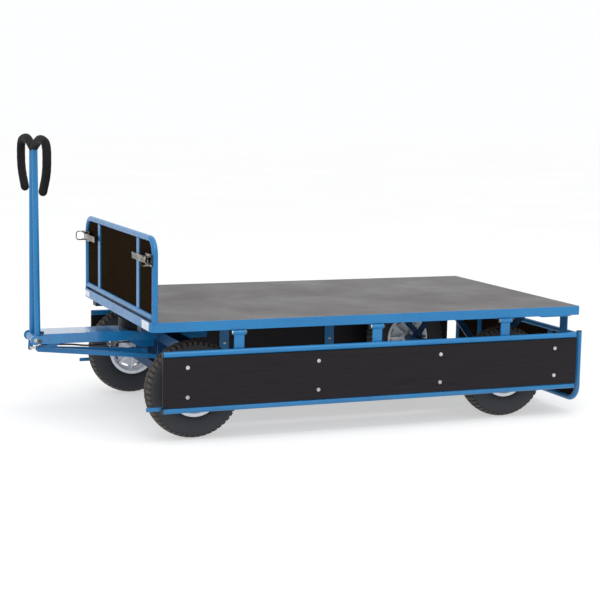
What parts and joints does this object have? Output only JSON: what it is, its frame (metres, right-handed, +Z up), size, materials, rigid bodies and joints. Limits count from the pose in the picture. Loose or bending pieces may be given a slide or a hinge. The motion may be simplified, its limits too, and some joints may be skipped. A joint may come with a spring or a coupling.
{
  "type": "folding platform cart",
  "caption": "Turntable hand cart with a flat board deck, fixed headboard, folding drop sides and tail panel, latches, and a tilting tiller with horn grips.",
  "frame": {"origin": "middle of the deck's top face", "axes": "+X forward towards the tiller, +Y to the cart's left, +Z up out of the deck"},
  "size_m": [2.4145, 1.271, 1.2383],
  "materials": {
    "blue_paint": "semi-gloss powder coat",
    "deck_wood": "film-faced plywood, satin",
    "panel_wood": "dark film-faced plywood, satin",
    "black_plastic": "matte moulded",
    "zinc_steel": "bright zinc plated",
    "black_rubber": "matte",
    "black_foam": "fine closed-cell foam",
    "tyre_rubber": "worn rubber",
    "rim_silver": "light silver-grey, satin"
  },
  "bodies": {
    "chassis": {"bed_rim": "blue_paint", "deck_board": "deck_wood", "underframe_rails": "blue_paint", "rail_end_caps": "black_plastic", "bed_crossmembers": "blue_paint", "hinge_brackets": "blue_paint", "hinge_pins": "zinc_steel", "rear_axle": "blue_paint", "rear_axle_nuts": "zinc_steel", "rear_axle_hangers": "blue_paint", "headboard_frame": "blue_paint", "headboard_board": "panel_wood", "headboard_bolts": "zinc_steel", "latch_base_left": "zinc_steel", "latch_base_right": "zinc_steel", "turntable_upper_ring": "blue_paint"},
    "bogie": {"turntable_lower_ring": "blue_paint", "turntable_balls": "zinc_steel", "drawbar_arm": "blue_paint", "drawbar_struts": "blue_paint", "tiller_pivot_bolts": "zinc_steel", "tiller_stops": "black_rubber", "bogie_bolster": "blue_paint", "bogie_hangers": "blue_paint", "front_axle": "blue_paint", "front_axle_nuts": "zinc_steel", "brake_adjuster": "zinc_steel", "brake_cable": "black_rubber"},
    "tiller": {"tiller_frame": "blue_paint", "brake_clevis": "zinc_steel", "handle_tube": "zinc_steel", "handle_grips": "black_foam"},
    "side_left": {"side_left_frame": "blue_paint", "side_left_board": "panel_wood", "side_left_bolts": "zinc_steel", "side_left_caps": "black_plastic"},
    "side_right": {"side_right_frame": "blue_paint", "side_right_board": "panel_wood", "side_right_bolts": "zinc_steel", "side_right_caps": "black_plastic"},
    "tail": {"tail_frame": "blue_paint", "tail_board": "panel_wood", "tail_bolts": "zinc_steel", "tail_caps": "black_plastic"},
    "lever_left": {"latch_lever_left": "zinc_steel"},
    "lever_right": {"latch_lever_right": "zinc_steel"},
    "bail_left": {"latch_bail_left": "zinc_steel"},
    "bail_right": {"latch_bail_right": "zinc_steel"},
    "front_wheel_left": {"tyre_front_left": "tyre_rubber", "wheel_front_left": "rim_silver"},
    "front_wheel_right": {"tyre_front_right": "tyre_rubber", "wheel_front_right": "rim_silver"},
    "rear_wheel_left": {"tyre_rear_left": "tyre_rubber", "wheel_rear_left": "rim_silver"},
    "rear_wheel_right": {"tyre_rear_right": "tyre_rubber", "wheel_rear_right": "rim_silver"}
  },
  "joints": [
    {"name": "bogie_steer", "type": "hinge", "parent": "chassis", "child": "bogie", "pos_m": [0.796, 0, -0.09], "axis": [0, 0, 1], "range_deg": [-55, 55]},
    {"name": "tiller_pivot", "type": "hinge", "parent": "bogie", "child": "tiller", "pos_m": [1.364, 0, -0.135], "axis": [0, 1, 0], "range_deg": [0, 95]},
    {"name": "side_left_hinge", "type": "hinge", "parent": "chassis", "child": "side_left", "pos_m": [0.008, 0.605, -0.0513], "axis": [1, 0, 0], "range_deg": [0, 180]},
    {"name": "side_right_hinge", "type": "hinge", "parent": "chassis", "child": "side_right", "pos_m": [0.008, -0.605, -0.0513], "axis": [-1, 0, 0], "range_deg": [0, 180]},
    {"name": "tail_hinge", "type": "hinge", "parent": "chassis", "child": "tail", "pos_m": [-1.005, 0, -0.0513], "axis": [0, 1, 0], "range_deg": [0, 180]},
    {"name": "front_wheel_left_spin", "type": "hinge", "parent": "bogie", "child": "front_wheel_left", "pos_m": [0.796, 0.502, -0.295], "axis": [0, 1, 0], "continuous": true},
    {"name": "front_wheel_right_spin", "type": "hinge", "parent": "bogie", "child": "front_wheel_right", "pos_m": [0.796, -0.502, -0.295], "axis": [0, 1, 0], "continuous": true},
    {"name": "rear_wheel_left_spin", "type": "hinge", "parent": "chassis", "child": "rear_wheel_left", "pos_m": [-0.659, 0.502, -0.295], "axis": [0, 1, 0], "continuous": true},
    {"name": "rear_wheel_right_spin", "type": "hinge", "parent": "chassis", "child": "rear_wheel_right", "pos_m": [-0.659, -0.502, -0.295], "axis": [0, 1, 0], "continuous": true},
    {"name": "lever_left_hinge", "type": "hinge", "parent": "chassis", "child": "lever_left", "pos_m": [1.004, 0.56, 0.25], "axis": [0, 0, 1], "range_deg": [0, 95]},
    {"name": "bail_left_hinge", "type": "hinge", "parent": "chassis", "child": "bail_left", "pos_m": [1.004, 0.583, 0.25], "axis": [0, 0, 1], "range_deg": [0, 90]},
    {"name": "lever_right_hinge", "type": "hinge", "parent": "chassis", "child": "lever_right", "pos_m": [1.004, -0.56, 0.25], "axis": [0, 0, -1], "range_deg": [0, 95]},
    {"name": "bail_right_hinge", "type": "hinge", "parent": "chassis", "child": "bail_right", "pos_m": [1.004, -0.583, 0.25], "axis": [0, 0, -1], "range_deg": [0, 90]}
  ]
}
